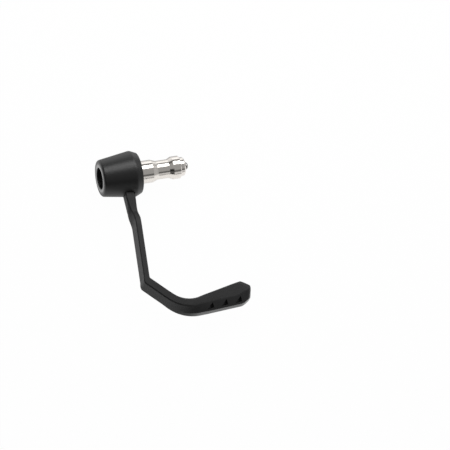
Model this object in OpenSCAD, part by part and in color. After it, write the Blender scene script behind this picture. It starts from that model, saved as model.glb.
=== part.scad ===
// Brake lever guard: a bar end for a motorbike handlebar with an arm that shields the brake lever.
// Origin: centre of the seat that meets the end of the handlebar tube.
// +X runs along the handlebar towards its middle, -Y points forward, +Z points up.

/* [Bar end body] */
// Length of the moulded body along the handlebar
body_length = 32.6; // [30:0.2:42]
// Diameter of the outer end before its rim is rounded
outer_end_d = 29.8; // [28:0.2:32]
// Largest diameter of the body
body_d = 38; // [36:0.5:46]
// Distance from the inboard face to the widest ring
shoulder_width = 5.6; // [4:0.2:8]
// Diameter of the inboard face
inboard_face_d = 33; // [30:0.5:35]
// Rounding of the outer rim
rim_radius = 2; // [1:0.1:3]
// Rounding of the widest ring
shoulder_radius = 3.2; // [1:0.1:4]
// Diameter of the recess for the bolt head
recess_d = 17.5; // [17:0.1:20]
// Depth of the recess for the bolt head
recess_depth = 12.6; // [10:0.2:13]
// Height of the rounded lip around the recess
lip_round = 0.8; // [0.3:0.1:1.5]

/* [Steel core] */
// Diameter of the flange that meets the handlebar
flange_d = 23; // [21:0.5:27]
// Thickness of the flange
flange_t = 3.2; // [2:0.1:4]
// Diameter of the two bands that fill the handlebar tube
band_d = 18.6; // [16:0.1:20]
// Length of the band beside the flange
near_band_length = 10.4; // [8:0.2:16]
// Diameter of the waist and of the pilot
waist_d = 15.3; // [12:0.1:15.6]
// Length of the slope from the near band down to the waist
near_slope_length = 4.2; // [1.5:0.1:5]
// Length of the waist between its slopes
waist_length = 9.8; // [5:0.2:16]
// Length of the slope from the waist up to the far band
far_slope_length = 3.2; // [1.5:0.1:5]
// Length of the far band
far_band_length = 6.4; // [4:0.2:12]
// Length of the pilot at the far end
pilot_length = 4; // [3:0.2:6]
// Edge bevel of the core
core_bevel = 0.5; // [0.3:0.1:0.8]

/* [Clamp bolt] */
// Diameter of the bolt's shank
bolt_d = 6; // [5:0.1:6.2]
// Diameter of the bolt's head
bolt_head_d = 10; // [9:0.1:11]
// Height of the bolt's head
bolt_head_h = 6; // [5:0.1:6.5]
// Width across the flats of the hexagon socket
socket_af = 5; // [4:0.1:5.5]
// Depth of the hexagon socket
socket_depth = 3; // [2:0.1:3.5]
// Length of the bolt's tip that stands out of the core
bolt_tip = 3.1; // [1:0.1:5]
// Outer diameter of the washer
washer_d = 16; // [12:0.1:16.8]
// Thickness of the washer
washer_t = 1.5; // [1:0.1:2]

/* [Guard arm] */
// Width of the arm's root, along the handlebar
root_w = 8; // [6:0.1:9]
// Height of the arm's root
root_h = 10.2; // [10:0.1:13]
// Distance from the inboard seat to the middle of the root
root_setback = 12.3; // [10:0.1:13.5]
// Forward reach of the straight root
root_reach = 34; // [30:0.5:45]
// How far the root's top sinks between the body and the ramp
root_dip = 0.9; // [0:0.1:1.5]
// How far the root's inner side draws in between the body and the ramp
root_waist = 1; // [0:0.1:1.5]
// Distance from the body's widest ring to the ramp, along the arm
ramp_place = 14.5; // [10:0.1:16]
// Length of the ramp that climbs from the root to the leg
ramp_length = 14; // [8:0.5:16]
// Height of the arm past its root
arm_h = 15.4; // [12:0.1:18]
// Thickness of the first leg
leg_t = 5.4; // [4.5:0.1:7]
// Length of the first leg
leg_length = 60.2; // [50:0.5:80]
// Outward lean of the first leg in degrees
leg_lean = 5.2; // [0:0.1:8]
// Thickness of the diagonal
diagonal_t = 7.5; // [6:0.1:9]
// Length of the diagonal between the corners of its middle line
diagonal_length = 40; // [34:0.5:55]
// Heading of the diagonal in degrees from straight ahead
diagonal_heading = 43.4; // [38:0.1:50]
// Bend radius at the elbow
elbow_radius = 5.6; // [5:0.1:9]
// Bend radius where the diagonal runs into the blade
sweep_radius = 27; // [20:0.5:32]

/* [Blade] */
// Heading of the blade in degrees from straight ahead
blade_heading = 98.1; // [90:0.1:104]
// Length of the blade from the corner of its middle line to the tip
blade_length = 58.6; // [50:0.1:80]
// Width of the blade where it begins
blade_start_w = 13.6; // [12:0.1:16]
// Width of the blade before its tip is rounded
blade_end_w = 19.8; // [17:0.1:24]
// Thickness of the blade
blade_h = 9.8; // [8:0.1:12]
// Width of the sloping band along the front of the blade
band_w = 6.2; // [5.5:0.1:7]
// Drop of the sloping band
band_drop = 2.4; // [1.5:0.1:3.5]
// Slant of the blade's end in degrees
tip_slant = 20; // [0:0.5:25]
// Length over which the front corner of the tip is rounded
tip_front_round = 11; // [8:0.2:16]
// Share of the front corner's cut that is a straight slope
tip_front_slope = 0.15; // [0:0.05:0.8]
// Length over which the rear corner of the tip is rounded
tip_rear_round = 6.4; // [5:0.2:14]
// Share of the rear corner's cut that is a straight slope
tip_rear_slope = 0.8; // [0:0.05:0.8]
// Width of the tip's flat end in front of the middle line
tip_front_flat = 4.2; // [1:0.1:5]
// Width of the tip's flat end behind the middle line
tip_rear_flat = 3.2; // [1:0.1:6]
// Length over which the blade's top rounds down to the tip
nose_length = 4.4; // [1:0.1:6]
// Height over which the blade's top rounds down to the tip
nose_drop = 5.6; // [1:0.1:6]

/* [Pockets in the blade] */
// Number of triangular pockets
pocket_count = 3; // [1:1:4]
// Distance from one pocket to the next
pocket_pitch = 12; // [8:0.1:13]
// Length of a pocket's long edge
pocket_w = 6; // [3:0.1:7]
// Height of a pocket
pocket_h = 4.5; // [3:0.1:4.6]
// Place of the pockets across the sloping band, from 0 at its foot to 1 at its top edge
pocket_place = 0.6; // [0.45:0.01:0.6]
// Depth of a pocket below the sloping band
pocket_depth = 5; // [1:0.1:5.5]
// Distance from the tip to the pocket nearest to it
pocket_setback = 14.2; // [12:0.2:18]

/* [Clearances] */
// Gap on each side of the arm's root in its slot
slot_gap = 0.3; // [0.15:0.05:0.6]
// Gap around the bolt's shank
bolt_gap = 0.2; // [0.1:0.05:0.3]
// Gap around the core's flange in its seat
flange_gap = 0.15; // [0.05:0.05:0.3]
// How far the core's flange stands out of the body
flange_proud = 0.4; // [0.2:0.1:1]
// Gap in the tapped end of the core
thread_gap = 0.02; // [0.02:0.01:0.1]

/* [Hidden] */
$fn = 96;

// Stations along the handlebar, measured from the seat
body_face_x = -flange_proud;
outer_face_x = body_face_x - body_length;
recess_floor_x = outer_face_x + recess_depth;
near_band_end = near_band_length;
waist_start = near_band_end + near_slope_length;
waist_end = waist_start + waist_length;
far_band_start = waist_end + far_slope_length;
far_band_end = far_band_start + far_band_length;
core_end = far_band_end + pilot_length;
bolt_end = core_end + bolt_tip;
head_seat_x = recess_floor_x - washer_t;
bolt_bevel = 1;
face_edge_round = 0.8;

// Stations along the middle line of the arm
root_bend_radius = 40;
elbow_turn = leg_lean + diagonal_heading;
sweep_turn = blade_heading - diagonal_heading;
body_r = body_d / 2;
ramp_start = body_r + ramp_place;
step_lead = 0.5;
step_start = ramp_start - step_lead;
step_length = 13;
waist_recovery = 7;
crease_lag = 2;
crease_start = body_r + crease_lag;
crease_length = 23;

function tangent_length(radius, turn) = radius * tan(turn / 2);
function arc_length(radius, turn) = radius * turn * PI / 180;

// Lengths of the straight stretches that are left between the bends
root_straight = root_reach - tangent_length(root_bend_radius, leg_lean);
leg_straight = leg_length - tangent_length(root_bend_radius, leg_lean) - tangent_length(elbow_radius, elbow_turn);
diagonal_straight = diagonal_length - tangent_length(elbow_radius, elbow_turn)
    - tangent_length(sweep_radius, sweep_turn);
blade_straight = blade_length - tangent_length(sweep_radius, sweep_turn);

// Distances along the middle line at which each stretch ends
s_root = root_straight;
s_leg = s_root + arc_length(root_bend_radius, leg_lean);
s_elbow = s_leg + leg_straight;
s_diagonal = s_elbow + arc_length(elbow_radius, elbow_turn);
s_sweep = s_diagonal + diagonal_straight;
s_blade = s_sweep + arc_length(sweep_radius, sweep_turn);
s_tip = s_blade + blade_straight;

function smooth(t) = let (c = min(1, max(0, t))) c * c * (3 - 2 * c);
function blend(a, b, t) = a + (b - a) * smooth(t);

// A heading of 0 points forward, and a heading of 90 points inboard
function ahead(heading) = [sin(heading), -cos(heading)];
function outward(heading) = [-cos(heading), -sin(heading)];

// Each place on the middle line is [point, heading]
function go_straight(place, length) = [place[0] + length * ahead(place[1]), place[1]];
function go_round(place, radius, turn) = let (side = sign(turn))
    [place[0] - side * radius * outward(place[1]) + side * radius * outward(place[1] + turn), place[1] + turn];

root_place = [[-root_setback, 0], 0];
leg_place = go_round(go_straight(root_place, root_straight), root_bend_radius, -leg_lean);
elbow_place = go_straight(leg_place, leg_straight);
diagonal_place = go_round(elbow_place, elbow_radius, elbow_turn);
sweep_place = go_straight(diagonal_place, diagonal_straight);
blade_place = go_round(sweep_place, sweep_radius, sweep_turn);

function turned(length, radius) = length / radius * 180 / PI;
function place_at(s) =
    s < s_root ? go_straight(root_place, s)
    : s < s_leg ? go_round(go_straight(root_place, root_straight), root_bend_radius,
        -turned(s - s_root, root_bend_radius))
    : s < s_elbow ? go_straight(leg_place, s - s_leg)
    : s < s_diagonal ? go_round(elbow_place, elbow_radius, turned(s - s_elbow, elbow_radius))
    : s < s_sweep ? go_straight(diagonal_place, s - s_diagonal)
    : s < s_blade ? go_round(sweep_place, sweep_radius, turned(s - s_sweep, sweep_radius))
    : go_straight(blade_place, s - s_blade);

// The blade's shape sets in before the sweep and is reached after it, and the arm thins over a longer way
blade_lead = 6;
blade_lag = 8;
thinning_lag = 12;
blade_onset = s_sweep - blade_lead;
blade_reached = s_blade + blade_lag;
thinned = s_blade + thinning_lag;

// How far the section has gone from the root to the leg, to the diagonal and to the blade
function past_dip(s) = min(1, max(0, (s - body_r) / ramp_place));
function past_ramp(s) = min(1, max(0, (s - ramp_start) / ramp_length));
function past_waist(s) = (s - ramp_start) / waist_recovery;
function past_step(s) = (s - step_start) / step_length;
function past_crease(s) = (s - crease_start) / crease_length;
function past_elbow(s) = (s - s_elbow) / (s_diagonal - s_elbow);
function past_sweep(s) = (s - blade_onset) / (blade_reached - blade_onset);
function past_thinning(s) = (s - s_sweep) / (thinned - s_sweep);
function along_blade(s) = min(1, max(0, (s - s_blade) / (s_tip - s_blade)));

// The inner wall lies this far behind the middle line on the leg and the diagonal
inner_reach = 3.9;

// Offsets of the walls from the middle line, before the tip is rounded
function outer_wall(s) = s < s_elbow ? blend(root_w / 2, leg_t - inner_reach, past_step(s))
    : s < blade_onset ? blend(leg_t - inner_reach, diagonal_t - inner_reach, past_elbow(s))
    : blend(diagonal_t - inner_reach, blade_start_w / 2, past_sweep(s))
        + (blade_end_w - blade_start_w) / 2 * along_blade(s);
function inner_wall(s) = s < s_elbow
    ? blend(root_w / 2, inner_reach, past_step(s)) - root_waist * (smooth(past_dip(s)) - smooth(past_waist(s)))
    : blend(inner_reach, blade_start_w / 2, past_sweep(s)) + (blade_end_w - blade_start_w) / 2 * along_blade(s);

// A corner of the tip is part slope and part ellipse in plan
function corner_cut(s, length, depth, slope_share) = let (t = min(1, max(0, (s - s_tip + length) / length)))
    depth * (slope_share * t + (1 - slope_share) * quarter_round(t));

// The tip's end leans back as it rises, so at a height up the outline of the tip lies nearer to the body
function quarter_round(t) = let (c = min(1, max(0, t))) 1 - sqrt(1 - c * c);
function lean_back(s, up) = nose_length * quarter_round(1 - (half_height(s) - up) / nose_drop);
function nose_fall(s) = nose_drop * quarter_round(1 - (s_tip - s) / nose_length);
function outer_edge(s, up) = outer_wall(s)
    - corner_cut(s + lean_back(s, up), tip_front_round, outer_wall(s_tip) - tip_front_flat, tip_front_slope);
function inner_edge(s, up) = inner_wall(s)
    - corner_cut(s + lean_back(s, up), tip_rear_round, inner_wall(s_tip) - tip_rear_flat, tip_rear_slope);

// The root is round about the bolt at its end. Past the body its top sinks a little, and then the ramp
// sets off steeply and levels out on the leg.
function ramp_share(s) = 1 - pow(1 - past_ramp(s), 2);
function half_height(s) = s < 0 ? sqrt(pow(root_h / 2, 2) - s * s)
    : s < s_elbow ? root_h / 2 + (arm_h - root_h) / 2 * ramp_share(s)
    : blend(arm_h, blade_h, past_thinning(s)) / 2;
function top_height(s) = half_height(s) - root_dip * smooth(past_dip(s)) * (1 - ramp_share(s)) - nose_fall(s);

// The tip thins out over its last millimetres
tip_round = 1.2;
function tip_inset(s) = tip_round * quarter_round((s - s_tip + tip_round) / tip_round);

// Width and drop of the bevel along the rear top edge, on the leg, on the diagonal and on the blade
leg_bevel = [1.1, 1.1];
diagonal_bevel = [3, 1.4];
blade_bevel = [1, 1];
function rear_bevel(s) = s < s_diagonal
    ? [for (i = [0, 1]) blend(leg_bevel[i], diagonal_bevel[i], past_elbow(s))]
    : [for (i = [0, 1]) blend(diagonal_bevel[i], blade_bevel[i], past_sweep(s))];

// The front wall has a crease: below it the wall is upright, above it the wall leans back to the top edge.
// The crease drops from the top to the bottom along the root, and climbs again to edge the blade's band.
edge_inset = 0.8;
wall_lean = 0.5;
least_strip = 0.2;
band_soften_w = 1.4;
band_soften_drop = 0.35;
function crease_height(s, half) = s < s_elbow
    ? blend(half - edge_inset - least_strip, edge_inset + least_strip - half, past_crease(s))
    : blend(edge_inset + least_strip - half, half - band_drop, past_sweep(s));

// How far the top edge stands back from the foot of the wall
function setback(s) = s < s_elbow
    ? outer_wall(s) + wall_lean * smooth(past_crease(s)) - blend(root_w / 2, leg_t - inner_reach, past_crease(s))
    : blend(wall_lean, band_w, past_sweep(s));

// Corners of the section as [across, up], from the rear bottom edge and round by the front
function section_corners(s) = let (
        half = half_height(s) - tip_inset(s),
        top = top_height(s) - tip_inset(s),
        outer = outer_edge(s, -half) - tip_inset(s),
        inner = inner_edge(s, -half) - tip_inset(s),
        inner_top = inner_edge(s, top) - tip_inset(s),
        inset = min(edge_inset, half / 3),
        crease = max(crease_height(s, top), -half + inset + least_strip),
        foot = [outer_edge(s, crease) - tip_inset(s), crease],
        width = outer_edge(s, top) + inner_edge(s, top),
        soften = min(blend(inset, band_soften_w, past_sweep(s)), width / 8),
        soften_drop = blend(inset, band_soften_drop, past_sweep(s)),
        ridge = [outer_edge(s, top) - tip_inset(s) - min(setback(s), width / 2), top - soften_drop],
        rear = rear_bevel(s))
    [
        [inset - inner, -half],
        [outer - inset, -half],
        [outer, -half + inset],
        foot,
        foot + (ridge - foot) / 3,
        foot + (ridge - foot) * 2 / 3,
        ridge,
        [ridge[0] - soften, top],
        [min(rear[0], width / 8) - inner_top, top],
        [-inner_edge(s, top - rear[1]) + tip_inset(s), max(top - rear[1], -half + inset + least_strip)],
        [-inner, -half + inset]
    ];

function point_at(place, corner) = let (flat = place[0] + corner[0] * outward(place[1]))
    [flat[0], flat[1], corner[1]];
function slanted(place, s) = [place[0], place[1] - blend(0, tip_slant, (s - s_tip + tip_span) / tip_span)];
function ring_at(s) = let (place = slanted(place_at(s), s))
    [for (corner = section_corners(s)) point_at(place, corner)];

function steps(from, to, count) = [for (i = [0:count - 1]) from + (to - from) * i / count];
tip_span = max(tip_front_round, tip_rear_round) + nose_length;
root_end_angles = [for (i = [0:4]) 70 - 14 * i];
ramp_end = ramp_start + ramp_length;
stations = concat(
    [for (angle = root_end_angles) -root_h / 2 * sin(angle)],
    [0],
    steps(body_r, crease_start, 1),
    steps(crease_start, ramp_start, 8),
    steps(ramp_start, ramp_end, 14),
    steps(ramp_end, s_elbow, 3),
    steps(s_elbow, s_diagonal, 8),
    steps(s_diagonal, blade_onset, 2),
    steps(blade_onset, blade_reached, 30),
    steps(blade_reached, s_tip - tip_span, 4),
    steps(s_tip - tip_span, s_tip - tip_round, 18),
    [for (i = [0:4]) s_tip - tip_round + tip_round * sin(22.5 * i)]
);

// A loft through closed rings that all have the same number of points
module loft(rings) {
    sides = len(rings[0]);
    last = len(rings) - 1;
    walls = [for (i = [0:last - 1], j = [0:sides - 1]) let (k = (j + 1) % sides)
        [i * sides + j, i * sides + k, (i + 1) * sides + k, (i + 1) * sides + j]];
    near_end = [for (j = [0:sides - 1]) sides - 1 - j];
    far_end = [for (j = [0:sides - 1]) last * sides + j];
    polyhedron(points = [for (ring = rings, p = ring) p], faces = concat(walls, [near_end, far_end]));
}

// Points of an arc that rounds a corner between two neighbours
function rounded(before, corner, after, radius, count = 5) = let (
        u = (before - corner) / norm(before - corner),
        v = (after - corner) / norm(after - corner),
        half_angle = acos(max(-1, min(1, u * v))) / 2,
        reach = radius / tan(half_angle),
        centre = corner + (u + v) / norm(u + v) * radius / sin(half_angle),
        first = corner + u * reach - centre,
        second = corner + v * reach - centre)
    [for (i = [0:count]) let (
            w = i / count,
            mix = first * sin((1 - w) * (180 - 2 * half_angle)) + second * sin(w * (180 - 2 * half_angle)))
        centre + mix / norm(mix) * radius];

// A solid of revolution about the handlebar's line, from an outline of [radius, station] points
module turned_along_bar(outline) {
    rotate([0, 90, 0]) rotate_extrude() polygon(outline);
}

module rod_along_bar(d, from, to) {
    translate([from, 0, 0]) rotate([0, 90, 0]) cylinder(d = d, h = to - from);
}

module bar_end_body() {
    rim = [outer_end_d / 2, outer_face_x];
    widest = [body_d / 2, body_face_x - shoulder_width];
    face_edge = [inboard_face_d / 2, body_face_x];
    lip = [recess_d / 2, outer_face_x];
    outline = concat(
        [[bolt_d / 2 + bolt_gap, recess_floor_x], [recess_d / 2, recess_floor_x]],
        rounded([recess_d / 2, recess_floor_x], lip, rim, lip_round, 4),
        rounded(lip, rim, widest, rim_radius),
        rounded(rim, widest, face_edge, shoulder_radius, 6),
        rounded(widest, face_edge, [0, body_face_x], face_edge_round, 3),
        [[flange_d / 2 + flange_gap, body_face_x], [flange_d / 2 + flange_gap, -flange_t],
            [bolt_d / 2 + bolt_gap, -flange_t]]
    );
    slot_w = root_w + 2 * slot_gap;
    slot_h = root_h + 2 * slot_gap;
    color([0.09, 0.09, 0.1]) difference() {
        turned_along_bar(outline);
        rod_slot(slot_w, slot_h);
    }
}

// The slot for the arm's root: open forward, and round about the bolt at its blind end
module rod_slot(slot_w, slot_h) {
    translate([-root_setback - slot_w / 2, -body_d, -slot_h / 2]) cube([slot_w, body_d, slot_h]);
    rod_along_bar(slot_h, -root_setback - slot_w / 2, -root_setback + slot_w / 2);
}

module steel_core() {
    band_r = band_d / 2;
    waist_r = waist_d / 2;
    flange_r = flange_d / 2;
    bore_r = bolt_d / 2 + thread_gap;
    outline = [
        [bore_r + core_bevel, -flange_t],
        [flange_r - core_bevel, -flange_t],
        [flange_r, core_bevel - flange_t],
        [flange_r, -core_bevel],
        [flange_r - core_bevel, 0],
        [band_r, 0],
        [band_r, near_band_end],
        [waist_r, waist_start],
        [waist_r, waist_end],
        [band_r, far_band_start],
        [band_r, far_band_end - core_bevel],
        [band_r - core_bevel, far_band_end],
        [waist_r, far_band_end],
        [waist_r, core_end - 2 * core_bevel],
        [waist_r - 2 * core_bevel, core_end],
        [bore_r + core_bevel, core_end],
        [bore_r, core_end - core_bevel],
        [bore_r, core_bevel - flange_t]
    ];
    color([0.82, 0.82, 0.84]) turned_along_bar(outline);
}

// One triangular pocket, cut square to the sloping band at a distance s along the middle line
module pocket(s) {
    place = place_at(s);
    slope = atan(band_drop / band_w);
    rise = half_height(s) - band_drop * (1 - pocket_place);
    mid = [outer_edge(s, rise) - band_w * pocket_place, rise];
    at = point_at(place, mid);
    translate(at) rotate([0, 0, place[1] - 90]) rotate([slope, 0, 0]) translate([0, 0, -pocket_depth])
        linear_extrude(pocket_depth + 2) polygon([
            [-pocket_w / 2, -pocket_h / 2],
            [pocket_w / 2, -pocket_h / 2],
            [pocket_w / 2, pocket_h / 2]
        ]);
}

module guard_arm() {
    color([0.11, 0.11, 0.12]) difference() {
        loft([for (s = stations) ring_at(s)]);
        rod_along_bar(bolt_d + 2 * bolt_gap, -root_setback - root_w, -root_setback + root_w);
        for (i = [0:pocket_count - 1]) pocket(s_tip - pocket_setback - i * pocket_pitch);
    }
}

module clamp_bolt() {
    head_r = bolt_head_d / 2;
    shank_r = bolt_d / 2;
    head_top = head_seat_x - bolt_head_h;
    outline = [
        [0, head_top],
        [head_r - core_bevel, head_top],
        [head_r, head_top + core_bevel],
        [head_r, head_seat_x],
        [shank_r, head_seat_x],
        [shank_r, bolt_end - bolt_bevel],
        [shank_r - bolt_bevel, bolt_end],
        [0, bolt_end]
    ];
    color([0.6, 0.6, 0.62]) difference() {
        turned_along_bar(outline);
        translate([head_top - 1, 0, 0]) rotate([0, 90, 0])
            cylinder(d = socket_af / cos(30), h = socket_depth + 1, $fn = 6);
    }
}

module bolt_washer() {
    color([0.7, 0.7, 0.72]) difference() {
        rod_along_bar(washer_d, head_seat_x, recess_floor_x);
        rod_along_bar(bolt_d + 2 * bolt_gap, head_seat_x - 1, recess_floor_x + 1);
    }
}

bar_end_body();
steel_core();
guard_arm();
clamp_bolt();
bolt_washer();
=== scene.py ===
import math

import bmesh
import bpy
from bpy.props import FloatProperty, FloatVectorProperty, PointerProperty
from bpy.types import Operator, Panel, PropertyGroup
from mathutils import Matrix, Vector


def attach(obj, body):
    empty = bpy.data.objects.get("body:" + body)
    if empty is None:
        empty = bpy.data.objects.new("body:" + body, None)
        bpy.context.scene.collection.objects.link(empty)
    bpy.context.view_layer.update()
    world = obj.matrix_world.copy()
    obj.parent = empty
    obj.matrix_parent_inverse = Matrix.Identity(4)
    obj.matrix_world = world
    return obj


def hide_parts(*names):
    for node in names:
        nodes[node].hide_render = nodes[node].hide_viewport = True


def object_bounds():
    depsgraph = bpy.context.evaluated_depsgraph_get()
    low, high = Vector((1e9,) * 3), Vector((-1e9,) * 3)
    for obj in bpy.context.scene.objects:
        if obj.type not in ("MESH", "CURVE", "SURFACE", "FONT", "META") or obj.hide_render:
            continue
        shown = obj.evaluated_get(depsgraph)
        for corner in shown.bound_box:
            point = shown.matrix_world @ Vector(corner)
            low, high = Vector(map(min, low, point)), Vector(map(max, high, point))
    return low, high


bl_info = {
    "name": "Brake lever guard looks",
    "version": (1, 0, 0),
    "blender": (4, 5, 0),
    "location": "View3D > Sidebar > Lever guard",
    "description": "Finishes, edges, stage and camera for the brake lever guard",
    "category": "Object",
}

# Modelling, in metres and radians
SAME_PLACE = 1e-6
SAME_RADIUS = 1e-5
CUT_SNAP = 1e-7
SHORT_EDGE = 1e-4
SLOT_MOUTH = -0.0195
FLAT_WITHIN = math.radians(0.2)
ROUNDED_ABOVE = math.radians(24)
ROUNDED_BELOW = math.radians(80)
ARM_SHARP_ABOVE = math.radians(40)
BOLT_SHARP_ABOVE = math.radians(35)

# Thread, in shares of its pitch; the ridge's height is a share of its depth, the shoulder is in metres
THREAD_DEPTH = 0.6
THREAD_HALF_FOOT = 0.44
THREAD_HALF_FLAT = 0.07
THREAD_RIDGE = 1.2
THREAD_SHOULDER = 0.0001
THREAD_STEPS_PER_TURN = 32

# Finishes: pattern scales in cells to the metre, reliefs in metres
CLOUD_SCALE = 90.0
SMEAR_SCALE = 160.0
BODY_RING_STRETCH = (1.0, 0.06, 0.06)
TURNED_RING_STRETCH = (1.0, 0.04, 0.04)
GRAIN_SHARE = 0.6
GRAIN_RANGE = (0.3, 0.7)
RING_RANGE = (0.3, 0.6)
BLACK_SHARES = (0.7, 1.3)
STEEL_DARKEST = 0.9
BLACK_RELIEF = 0.00002
STEEL_RELIEF = 0.00001

# Smoother places of the black finish, in metres, with the weight of their clear coat
OUTER_FACE_DEPTH = (0.0001, 0.0003)
RECESS_RIM_RADIUS = (0.0108, 0.0124)
RECESS_RIM_COAT = 0.9
BLADE_FOOT_ALONG = (0.012, 0.022)
BLADE_FOOT_TOP = (0.0023, 0.0026)
BLADE_FOOT_COAT = 0.65

# Camera: lens and sensor in millimetres, its aim from the origin in metres
LENS = 800.0
SENSOR_WIDTH = 36.0
AIM_RIGHT = 0.0699
AIM_UP = -0.0422

# Softbox and floor, in metres; glows and shares have 1 as white
SOFTBOX_PLACE = (0.2, 0.24, 0.4)
SOFTBOX_SIZE = (0.7, 0.3)
FLOOR_REACH = 4.0
FLOOR_GLOW = 1.0
FLOOR_GLOW_MIRRORED = 1.22
# Painted shade: the floor's darker glow behind the bar end, seen only in reflections
FLOOR_GLOW_PAINTED_SHADE = 0.45
GLOW_TO_CAMERA = 0.985
GLOW_TO_GLOSS = 0.6
# Where the floor's painted shade lies behind the bar end, in metres
BEHIND_FROM_X = (-0.034, -0.03)
BEHIND_FROM_Y = (0.0, 0.01)
BEHIND_TO_Y = (0.06, 0.1)

# Studio walls: grey levels by height, changed by side, and the directions where other walls begin
WALLS_BY_HEIGHT = ((0.0, 0.7), (0.5, 1.2), (0.66, 1.2), (0.7, 0.2), (0.8, 0.2))
WALLS_MIDDLE = 0.66
WALLS_ALONG_X = 0.62
WALLS_ALONG_Y = 0.28
RIGHT_WALL = 0.47
RIGHT_WALL_FROM = (0.5, 0.75)
CEILING = 0.36
CEILING_FROM = (0.6, 0.68)

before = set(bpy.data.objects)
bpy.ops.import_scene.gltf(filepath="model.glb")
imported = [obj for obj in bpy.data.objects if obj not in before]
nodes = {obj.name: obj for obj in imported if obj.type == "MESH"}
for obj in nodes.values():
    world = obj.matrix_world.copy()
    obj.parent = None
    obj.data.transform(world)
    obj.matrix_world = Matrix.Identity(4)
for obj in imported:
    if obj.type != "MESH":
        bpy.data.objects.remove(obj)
cad_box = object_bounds()


def rgba(colour):
    return (*colour, 1.0)


def grey(level):
    return (level, level, level, 1.0)


class Socket:
    """A shader socket that takes part in Python arithmetic through Math nodes."""

    def __init__(self, graph, socket):
        self.graph = graph
        self.socket = socket

    def math(self, operation, *values):
        return self.graph.node("ShaderNodeMath", {"operation": operation}, values)["Value"]

    def __add__(self, other):
        return self.math("ADD", self, other)

    def __radd__(self, other):
        return self.math("ADD", other, self)

    def __sub__(self, other):
        return self.math("SUBTRACT", self, other)

    def __rsub__(self, other):
        return self.math("SUBTRACT", other, self)

    def __mul__(self, other):
        return self.math("MULTIPLY", self, other)

    def __rmul__(self, other):
        return self.math("MULTIPLY", other, self)

    def __truediv__(self, other):
        return self.math("DIVIDE", self, other)

    def __rtruediv__(self, other):
        return self.math("DIVIDE", other, self)

    def clamped(self):
        return self.math("MINIMUM", self.math("MAXIMUM", self, 0.0), 1.0)

    def ramp(self, low, high):
        """0 below low, 1 above high, and a straight line between them."""
        return ((self - low) / (high - low)).clamped()


class Graph:
    """The node tree of a material or of the world."""

    def __init__(self, tree):
        self.tree = tree
        tree.nodes.clear()

    def node(self, kind, settings=None, values=()):
        """Adds a node: first its settings, then its sockets' values or links, by place or by name."""
        made = self.tree.nodes.new(kind)
        for name, value in (settings or {}).items():
            if name == "stops":
                self.set_stops(made, value)
            else:
                setattr(made, name, value)
        pairs = values.items() if isinstance(values, dict) else enumerate(values)
        for key, value in pairs:
            self.fill(made.inputs[key], value)
        return {out.name: Socket(self, out) for out in made.outputs}

    def fill(self, socket, value):
        """Links a socket to another one, or sets its own value."""
        if isinstance(value, Socket):
            self.tree.links.new(value.socket, socket)
        else:
            socket.default_value = value

    def set_stops(self, made, stops):
        """Sets a colour ramp's stops from places and grey levels."""
        elements = made.color_ramp.elements
        while len(elements) < len(stops):
            elements.new(1.0)
        for element, (place, level) in zip(elements, stops):
            element.position = place
            element.color = grey(level)

    def mixed(self, low, high, factor):
        """A colour between two colours."""
        made = self.tree.nodes.new("ShaderNodeMix")
        made.data_type = "RGBA"
        for key, value in (("Factor_Float", factor), ("A_Color", low), ("B_Color", high)):
            self.fill(next(s for s in made.inputs if s.identifier == key), value)
        return Socket(self, next(s for s in made.outputs if s.identifier == "Result_Color"))

    def mixed_shaders(self, first, second, factor):
        """A shader between two shaders."""
        return self.node("ShaderNodeMixShader", values=[factor, first, second])["Shader"]

    def split(self, vector):
        """The X, Y and Z of a vector."""
        return self.node("ShaderNodeSeparateXYZ", values=[vector])

    def vector_math(self, operation, values, out="Vector"):
        return self.node("ShaderNodeVectorMath", {"operation": operation}, values)[out]


def new_material(name):
    material = bpy.data.materials.new(name)
    material.use_nodes = True
    return material, Graph(material.node_tree)


def object_place(graph, scale=(1.0, 1.0, 1.0)):
    """Object coordinates in metres, stretched by scale."""
    place = graph.node("ShaderNodeTexCoord")["Object"]
    return graph.node("ShaderNodeMapping", values={"Vector": place, "Scale": scale})["Vector"]


def noise(graph, place, scale, detail=3.0, roughness=0.55):
    return graph.node("ShaderNodeTexNoise", values={
        "Vector": place, "Scale": scale, "Detail": detail, "Roughness": roughness})["Fac"]


def bumped(graph, height, strength, distance):
    return graph.node("ShaderNodeBump", values={
        "Height": height, "Strength": strength, "Distance": distance})["Normal"]


def uneven(middle, *patterns):
    """A number that each pattern raises and lowers by half its reach."""
    for pattern, reach in patterns:
        middle = middle + (pattern - 0.5) * reach
    return middle


def finish_material(graph, values):
    shader = graph.node("ShaderNodeBsdfPrincipled", values=values)["BSDF"]
    graph.node("ShaderNodeOutputMaterial", values={"Surface": shader})


def black_shades(graph, colour, grain, cloud):
    """The black, darkened and lightened by its grain and clouding."""
    dark, light = (rgba([channel * share for channel in colour]) for share in BLACK_SHARES)
    pattern = grain * GRAIN_SHARE + cloud * (1.0 - GRAIN_SHARE)
    return graph.mixed(dark, light, pattern.ramp(*GRAIN_RANGE))


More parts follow.
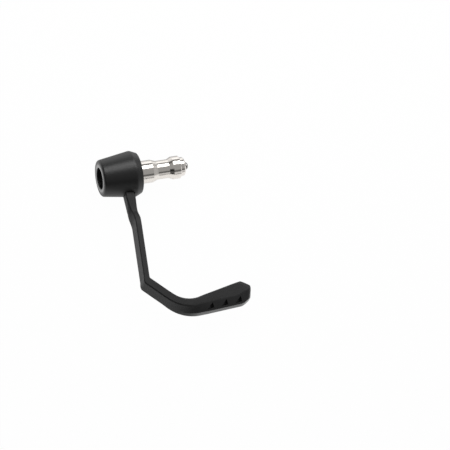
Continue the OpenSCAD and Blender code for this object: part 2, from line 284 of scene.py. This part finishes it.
def body_black(settings, outer_end):
    """Black finish with faint rings about the bar's line and a clear, smooth band round the recess."""
    material, graph = new_material("body_black")
    place = object_place(graph)
    grain = noise(graph, place, 1.0 / settings.grain_size)
    cloud = noise(graph, place, CLOUD_SCALE, detail=2.0)
    stretched = object_place(graph, BODY_RING_STRETCH)
    rings = noise(graph, stretched, 1.0 / settings.body_ring_pitch, detail=2.0)
    across = graph.vector_math("MULTIPLY", [place, (0.0, 1.0, 1.0)])
    radius = graph.vector_math("LENGTH", [across], out="Value")
    on_end = 1.0 - graph.split(place)["X"].ramp(*(outer_end + depth for depth in OUTER_FACE_DEPTH))
    near_recess = 1.0 - radius.ramp(*RECESS_RIM_RADIUS)
    finish_material(graph, {
        "Base Color": black_shades(graph, settings.black, grain, cloud),
        "Roughness": uneven(settings.black_roughness, (cloud, 0.06), (rings, 0.1)),
        "IOR": 1.52,
        "Coat Weight": on_end * near_recess * RECESS_RIM_COAT,
        "Coat Roughness": 0.08,
        "Normal": bumped(graph, grain * 0.5 + rings, strength=0.3, distance=BLACK_RELIEF),
    })
    return material


def arm_black(settings):
    """Duller black finish with fine grain and faint clouding, smoother on the blade's upright foot."""
    material, graph = new_material("arm_black")
    place = object_place(graph)
    grain = noise(graph, place, 1.0 / settings.grain_size)
    cloud = noise(graph, place, CLOUD_SCALE, detail=2.0)
    split = graph.split(place)
    on_foot = split["X"].ramp(*BLADE_FOOT_ALONG) * (1.0 - split["Z"].ramp(*BLADE_FOOT_TOP))
    finish_material(graph, {
        "Base Color": black_shades(graph, settings.arm_black, grain, cloud),
        "Roughness": uneven(settings.arm_roughness, (cloud, 0.08)),
        "IOR": 1.33,
        "Coat Weight": on_foot * BLADE_FOOT_COAT,
        "Coat Roughness": 0.15,
        "Normal": bumped(graph, grain, strength=0.35, distance=BLACK_RELIEF),
    })
    return material


def turned_steel(name, colour, roughness, settings):
    """Bright steel with the fine rings that turning leaves about the handlebar's line."""
    material, graph = new_material(name)
    stretched = object_place(graph, TURNED_RING_STRETCH)
    rings = noise(graph, stretched, 1.0 / settings.ring_pitch, detail=4.0)
    smear = noise(graph, object_place(graph), SMEAR_SCALE, detail=2.0)
    dark = rgba([channel * STEEL_DARKEST for channel in colour])
    finish_material(graph, {
        "Base Color": graph.mixed(dark, rgba(colour), rings.ramp(*RING_RANGE)),
        "Metallic": 1.0,
        "Roughness": uneven(roughness, (rings, 0.05), (smear, 0.04)),
        "Normal": bumped(graph, rings, strength=0.15, distance=STEEL_RELIEF),
    })
    return material


def radius_of(vertex):
    """Distance from the handlebar's line."""
    return math.hypot(vertex.co.y, vertex.co.z)


def merged_copy(node):
    """A copy of a CAD node's mesh, with its loose triangles joined."""
    work = bmesh.new()
    work.from_mesh(node.data)
    bmesh.ops.remove_doubles(work, verts=work.verts, dist=SAME_PLACE)
    return work


def sharpen(work, angle):
    """Shades faces smoothly apart from the edges that turn by more than an angle."""
    for face in work.faces:
        face.smooth = True
    for edge in work.edges:
        edge.smooth = len(edge.link_faces) == 2 and edge.calc_face_angle() < angle


def put_in_order(work):
    """Numbers a mesh's parts by their place, because spin numbers them differently in each run."""
    places = (
        (work.verts, lambda vertex: tuple(vertex.co)),
        (work.edges, lambda edge: tuple(edge.verts[0].co + edge.verts[1].co)),
        (work.faces, lambda face: tuple(face.calc_center_median())),
    )
    for parts, place in places:
        for number, part in enumerate(sorted(parts, key=place)):
            part.index = number
        parts.sort()


def new_object(context, name, mesh_name, work):
    """Makes an object at the origin from a finished bmesh."""
    mesh = bpy.data.meshes.new(mesh_name)
    work.to_mesh(mesh)
    work.free()
    made = bpy.data.objects.new(name, mesh)
    context.scene.collection.objects.link(made)
    return made


def put_on(obj, material):
    obj.data.materials.clear()
    obj.data.materials.append(material)


class LeverGuardSettings(PropertyGroup):
    """Finishes, sizes, view and light of the brake lever guard"""
    black: FloatVectorProperty(
        name="Body black", description="Colour of the bar end body",
        default=(0.0035, 0.0035, 0.0038), size=3, min=0.0, max=1.0, subtype="COLOR")
    black_roughness: FloatProperty(
        name="Body roughness", description="How dull the body's finish is",
        default=0.39, min=0.05, max=1.0, subtype="FACTOR")
    body_ring_pitch: FloatProperty(
        name="Body rings", description="Spacing of the faint rings on the body",
        default=0.0008, min=0.0001, max=0.01, unit="LENGTH")
    arm_black: FloatVectorProperty(
        name="Arm black", description="Colour of the guard arm",
        default=(0.022, 0.022, 0.0224), size=3, min=0.0, max=1.0, subtype="COLOR")
    arm_roughness: FloatProperty(
        name="Arm roughness", description="How dull the arm's finish is",
        default=0.5, min=0.05, max=1.0, subtype="FACTOR")
    grain_size: FloatProperty(
        name="Grain", description="Size of the black finish's grain",
        default=0.0004, min=0.0001, max=0.005, unit="LENGTH")
    steel: FloatVectorProperty(
        name="Steel", description="Colour of the polished core",
        default=(0.85, 0.81, 0.765), size=3, min=0.0, max=1.0, subtype="COLOR")
    steel_roughness: FloatProperty(
        name="Steel roughness", description="How dull the polished core is",
        default=0.145, min=0.05, max=1.0, subtype="FACTOR")
    ring_pitch: FloatProperty(
        name="Turning marks", description="Spacing of the rings that turning leaves on the steel",
        default=0.0003, min=0.00005, max=0.005, unit="LENGTH")
    fastener: FloatVectorProperty(
        name="Fasteners", description="Colour of the bolt and washer",
        default=(0.5, 0.49, 0.48), size=3, min=0.0, max=1.0, subtype="COLOR")
    bolt_roughness: FloatProperty(
        name="Bolt roughness", description="How dull the bolt is",
        default=0.255, min=0.05, max=1.0, subtype="FACTOR")
    washer_roughness: FloatProperty(
        name="Washer roughness", description="How dull the washer is",
        default=0.335, min=0.05, max=1.0, subtype="FACTOR")
    thread_pitch: FloatProperty(
        name="Thread pitch", description="Pitch of the thread on the bolt's tip",
        default=0.001, min=0.0005, max=0.002, unit="LENGTH")
    edge_round: FloatProperty(
        name="Arm edges", description="Rounding of the arm's outer edges",
        default=0.00015, min=0.0, max=0.00018, unit="LENGTH")
    view_azimuth: FloatProperty(
        name="Azimuth", description="Camera's direction about the vertical",
        default=math.radians(-38.07), subtype="ANGLE")
    view_elevation: FloatProperty(
        name="Elevation", description="Camera's height above the horizon",
        default=math.radians(65.19), subtype="ANGLE")
    view_roll: FloatProperty(
        name="Roll", description="Camera's turn about its own line of sight",
        default=math.radians(26.8), subtype="ANGLE")
    view_width: FloatProperty(
        name="View width", description="Width of the picture at the object",
        default=0.3645, min=0.05, unit="LENGTH")
    key_radiance: FloatProperty(
        name="Softbox", description="Brightness of the softbox above and behind",
        default=3.4, min=0.0)
    floor_white: FloatProperty(
        name="Floor", description="Brightness of the floor",
        default=0.8, min=0.0, max=1.0, subtype="FACTOR")


class LEVERGUARD_OT_body(Operator):
    """Give the bar end body its black finish"""
    bl_idname = "leverguard.body"
    bl_label = "Bar end body"

    def execute(self, context):
        settings = context.scene.lever_guard
        body = nodes["bar_end_body"]
        outer_end = min(vertex.co.x for vertex in body.data.vertices)
        put_on(body, body_black(settings, outer_end))
        return {"FINISHED"}


class LEVERGUARD_OT_core(Operator):
    """Give the steel core its turned and polished finish"""
    bl_idname = "leverguard.core"
    bl_label = "Steel core"

    def execute(self, context):
        settings = context.scene.lever_guard
        steel = turned_steel("core_steel", settings.steel, settings.steel_roughness, settings)
        put_on(nodes["steel_core"], steel)
        return {"FINISHED"}


class LEVERGUARD_OT_arm(Operator):
    """Round the guard arm's outer edges and give it its black finish"""
    bl_idname = "leverguard.arm"
    bl_label = "Guard arm"

    def execute(self, context):
        settings = context.scene.lever_guard
        work = merged_copy(nodes["guard_arm"])
        bmesh.ops.dissolve_limit(
            work, angle_limit=FLAT_WITHIN, verts=work.verts, edges=work.edges,
            use_dissolve_boundaries=False)
        bmesh.ops.dissolve_degenerate(work, dist=SHORT_EDGE, edges=work.edges)
        bmesh.ops.bevel(
            work, geom=self.outer_edges(work), offset=settings.edge_round, offset_type="OFFSET",
            affect="EDGES", segments=2, profile=0.5, material=-1, clamp_overlap=False)
        bmesh.ops.dissolve_degenerate(work, dist=SAME_PLACE, edges=work.edges)
        sharpen(work, ARM_SHARP_ABOVE)
        arm = new_object(context, "guard_arm_finished", "arm_edges_rounded", work)
        arm.modifiers.new("Shade wide faces flat", "WEIGHTED_NORMAL").keep_sharp = True
        put_on(arm, arm_black(settings))
        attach(arm, "root")
        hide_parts("guard_arm")
        return {"FINISHED"}

    def outer_edges(self, work):
        """The arm's outward edges past the slot, but for the square mouths of the blade's pockets."""
        return [
            edge for edge in work.edges
            if edge.is_convex and ROUNDED_ABOVE < edge.calc_face_angle() < ROUNDED_BELOW
            and max(vertex.co.y for vertex in edge.verts) < SLOT_MOUTH]


class LEVERGUARD_OT_fasteners(Operator):
    """Cut the thread on the bolt's tip and give the bolt and its washer their finish"""
    bl_idname = "leverguard.fasteners"
    bl_label = "Bolt and washer"

    def execute(self, context):
        settings = context.scene.lever_guard
        washer = nodes["bolt_washer"]
        steel = turned_steel("washer_steel", settings.fastener, settings.washer_roughness, settings)
        put_on(washer, steel)

        work = merged_copy(nodes["clamp_bolt"])
        pitch = settings.thread_pitch
        core_end = max(vertex.co.x for vertex in nodes["steel_core"].data.vertices)
        start = core_end - pitch / 2
        end = max(vertex.co.x for vertex in work.verts)
        crest = max(radius_of(vertex) for vertex in work.verts if vertex.co.x > start)
        depth = THREAD_DEPTH * pitch
        self.turn_down_tip(work, start, crest, depth)
        self.wind_thread(work, start, end, crest, depth, pitch)
        sharpen(work, BOLT_SHARP_ABOVE)
        put_in_order(work)
        bolt = new_object(context, "clamp_bolt_finished", "bolt_with_thread", work)
        steel = turned_steel("bolt_steel", settings.fastener, settings.bolt_roughness, settings)
        put_on(bolt, steel)
        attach(bolt, "root")
        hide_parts("clamp_bolt")
        return {"FINISHED"}

    def turn_down_tip(self, work, start, crest, depth):
        """Draws the bolt's tip in to the root of the thread."""
        for station in (start - THREAD_SHOULDER, start):
            geometry = work.verts[:] + work.edges[:] + work.faces[:]
            bmesh.ops.bisect_plane(
                work, geom=geometry, dist=CUT_SNAP,
                plane_co=(station, 0.0, 0.0), plane_no=(1.0, 0.0, 0.0))
        tip = [
            vertex for vertex in work.verts
            if vertex.co.x > start - SAME_PLACE and radius_of(vertex) > crest - SAME_RADIUS]
        share = (crest - depth) / crest
        bmesh.ops.scale(work, vec=(1.0, share, share), verts=tip)

    def wind_thread(self, work, start, end, crest, depth, pitch):
        """Winds the thread's ridge round the tip and lets it run out at the bolt's end."""
        foot, flat = THREAD_HALF_FOOT * pitch, THREAD_HALF_FLAT * pitch
        low, high = crest - THREAD_RIDGE * depth, crest
        section = ((-foot, low), (-flat, high), (flat, high), (foot, low))
        corners = [work.verts.new((start + x, 0.0, z)) for x, z in section]
        sides = [work.edges.new(pair) for pair in zip(corners, corners[1:] + corners[:1])]
        turns = (end - foot - start) / pitch
        steps = int(turns * THREAD_STEPS_PER_TURN)
        known = set(work.verts) - set(corners)
        bmesh.ops.spin(
            work, geom=corners + sides, cent=(0.0, 0.0, 0.0), axis=(1.0, 0.0, 0.0),
            dvec=(turns * pitch / steps, 0.0, 0.0), angle=2.0 * math.pi * turns, steps=steps)
        ridge = [vertex for vertex in work.verts if vertex not in known]
        rims = [edge for edge in work.edges if edge.is_boundary]
        bmesh.ops.holes_fill(work, edges=rims, sides=len(section))
        for vertex in ridge:
            limit = crest - max(0.0, vertex.co.x - (end - pitch))
            if radius_of(vertex) > limit:
                vertex.co.yz *= limit / radius_of(vertex)
        faces = list({face for vertex in ridge for face in vertex.link_faces})
        bmesh.ops.recalc_face_normals(work, faces=faces)


class LEVERGUARD_OT_stage(Operator):
    """Set up the floor, the soft lights and the camera"""
    bl_idname = "leverguard.stage"
    bl_label = "Stage"

    def execute(self, context):
        settings = context.scene.lever_guard
        self.make_camera(context, settings)
        self.make_floor(context, settings)
        self.make_softbox(context, settings)
        self.make_world(context)
        context.scene.view_settings.view_transform = "Standard"
        return {"FINISHED"}

    def make_camera(self, context, settings):
        azimuth, elevation = settings.view_azimuth, settings.view_elevation
        toward = Vector((
            math.sin(azimuth) * math.cos(elevation),
            -math.cos(azimuth) * math.cos(elevation),
            math.sin(elevation)))
        level = Vector((math.cos(azimuth), math.sin(azimuth), 0.0))
        right = Matrix.Rotation(settings.view_roll, 3, toward) @ level
        up = toward.cross(right)
        data = bpy.data.cameras.new("photo_camera")
        data.lens = LENS
        data.sensor_width = SENSOR_WIDTH
        distance = settings.view_width * LENS / SENSOR_WIDTH
        data.clip_end = 2.0 * distance
        camera = bpy.data.objects.new("photo_camera", data)
        context.scene.collection.objects.link(camera)
        aim = right * AIM_RIGHT + up * AIM_UP
        turned = Matrix((right, up, toward)).transposed().to_4x4()
        camera.matrix_world = Matrix.Translation(aim + toward * distance) @ turned
        context.scene.camera = camera

    def make_floor(self, context, settings):
        work = bmesh.new()
        bmesh.ops.create_grid(work, x_segments=1, y_segments=1, size=FLOOR_REACH)
        bmesh.ops.translate(work, verts=work.verts, vec=(0.0, 0.0, cad_box[0].z))
        floor = new_object(context, "floor", "floor", work)
        put_on(floor, self.floor_white(settings))

    def floor_white(self, settings):
        """A lit floor that glows white for the camera and for the gloss that mirrors it, with a
        painted shade behind the bar end that only reflections see.
        """
        material, graph = new_material("floor_white")
        ray = graph.node("ShaderNodeLightPath")
        white = grey(settings.floor_white)
        lit = graph.node("ShaderNodeBsdfDiffuse", values={"Color": white})["BSDF"]
        plain, mirrored, behind = (
            graph.node("ShaderNodeEmission", values={"Color": grey(level)})["Emission"]
            for level in (FLOOR_GLOW, FLOOR_GLOW_MIRRORED, FLOOR_GLOW_PAINTED_SHADE))

        # Painted shade: behind the bar end the floor glows darker, only where reflections see it,
        # which draws the steel's upper outline
        split = graph.split(object_place(graph))
        painted_shade_mask = (
            split["X"].ramp(*BEHIND_FROM_X) * split["Y"].ramp(*BEHIND_FROM_Y)
            * (1.0 - split["Y"].ramp(*BEHIND_TO_Y)))
        mirrored = graph.mixed_shaders(mirrored, behind, painted_shade_mask)
        glow = graph.mixed_shaders(plain, mirrored, ray["Is Glossy Ray"])
        share = ray["Is Camera Ray"] * GLOW_TO_CAMERA + ray["Is Glossy Ray"] * GLOW_TO_GLOSS
        surface = graph.mixed_shaders(lit, glow, share)
        graph.node("ShaderNodeOutputMaterial", values={"Surface": surface})
        return material

    def make_softbox(self, context, settings):
        """A rectangular lamp that hangs level above and behind the object."""
        data = bpy.data.lights.new("softbox_above", "AREA")
        data.shape = "RECTANGLE"
        data.size, data.size_y = SOFTBOX_SIZE
        data.energy = settings.key_radiance * math.pi * data.size * data.size_y
        lamp = bpy.data.objects.new("softbox_above", data)
        context.scene.collection.objects.link(lamp)
        lamp.location = SOFTBOX_PLACE

    def make_world(self, context):
        """White for the camera, and soft grey walls and a ceiling for everything else."""
        world = bpy.data.worlds.new("studio")
        context.scene.world = world
        world.use_nodes = True
        graph = Graph(world.node_tree)
        split = graph.split(graph.node("ShaderNodeTexCoord")["Generated"])
        height = split["Z"] * 0.5 + 0.5
        walls = graph.node("ShaderNodeValToRGB", {"stops": WALLS_BY_HEIGHT}, [height])["Color"]
        side = WALLS_MIDDLE + split["Y"] * WALLS_ALONG_Y + split["X"] * WALLS_ALONG_X
        walls = graph.vector_math("SCALE", {"Vector": walls, "Scale": side})
        walls = graph.mixed(walls, grey(RIGHT_WALL), split["X"].ramp(*RIGHT_WALL_FROM))
        walls = graph.mixed(walls, grey(CEILING), split["Z"].ramp(*CEILING_FROM))
        seen = graph.node("ShaderNodeLightPath")["Is Camera Ray"]
        colour = graph.mixed(walls, grey(1.0), seen)
        surface = graph.node("ShaderNodeBackground", values={"Color": colour})["Background"]
        graph.node("ShaderNodeOutputWorld", values={"Surface": surface})


OPERATORS = (
    LEVERGUARD_OT_stage,
    LEVERGUARD_OT_body,
    LEVERGUARD_OT_core,
    LEVERGUARD_OT_arm,
    LEVERGUARD_OT_fasteners,
)


class LEVERGUARD_PT_sidebar(Panel):
    """Sizes, colours and steps of the brake lever guard"""
    bl_idname = "LEVERGUARD_PT_sidebar"
    bl_label = "Brake lever guard"
    bl_space_type = "VIEW_3D"
    bl_region_type = "UI"
    bl_category = "Lever guard"

    def draw(self, context):
        layout = self.layout
        for name in LeverGuardSettings.__annotations__:
            layout.prop(context.scene.lever_guard, name)
        for step in OPERATORS:
            layout.operator(step.bl_idname)


CLASSES = (LeverGuardSettings, *OPERATORS, LEVERGUARD_PT_sidebar)


def register():
    for made in CLASSES:
        bpy.utils.register_class(made)
    bpy.types.Scene.lever_guard = PointerProperty(type=LeverGuardSettings)


def unregister():
    del bpy.types.Scene.lever_guard
    for made in reversed(CLASSES):
        bpy.utils.unregister_class(made)


def main():
    register()
    bpy.ops.leverguard.stage()
    bpy.ops.leverguard.body()
    bpy.ops.leverguard.core()
    bpy.ops.leverguard.arm()
    bpy.ops.leverguard.fasteners()


if __name__ == "__main__":
    main()
